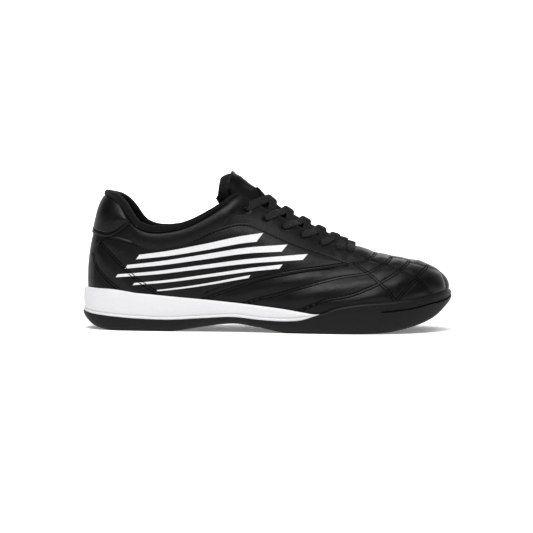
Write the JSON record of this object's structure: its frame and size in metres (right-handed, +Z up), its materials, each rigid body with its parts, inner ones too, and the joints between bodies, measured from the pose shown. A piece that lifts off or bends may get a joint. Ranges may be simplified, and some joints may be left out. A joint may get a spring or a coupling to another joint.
{
  "type": "indoor soccer shoe",
  "caption": "Low-cut indoor soccer shoe in black leather with white printed bars, a white foam midsole, black rubber outsole, quilted toe and flat black laces.",
  "frame": {"origin": "centre of the outsole's length and width, on the floor", "axes": "+X from heel to toe, +Y toward the inner side of the foot, +Z up"},
  "size_m": [0.29, 0.1016, 0.1235],
  "materials": {
    "upper_leather": "satin",
    "lining_mesh": "matte",
    "lace_weave": "matte",
    "midsole_foam": "matte",
    "outsole_rubber": "satin"
  },
  "bodies": {
    "root": {"outsole": "outsole_rubber", "midsole": "midsole_foam", "insole": "lining_mesh", "upper": "upper_leather", "quarter_lateral": "upper_leather", "quarter_medial": "upper_leather", "heel_tab": "upper_leather", "collar_binding": "lining_mesh", "tongue": "upper_leather", "tongue_loop": "upper_leather", "lace_cross_1": "lace_weave", "lace_cross_2": "lace_weave", "lace_cross_3": "lace_weave", "lace_cross_4": "lace_weave", "lace_cross_5": "lace_weave", "lace_cross_6": "lace_weave", "lace_bar": "lace_weave"}
  },
  "joints": []
}
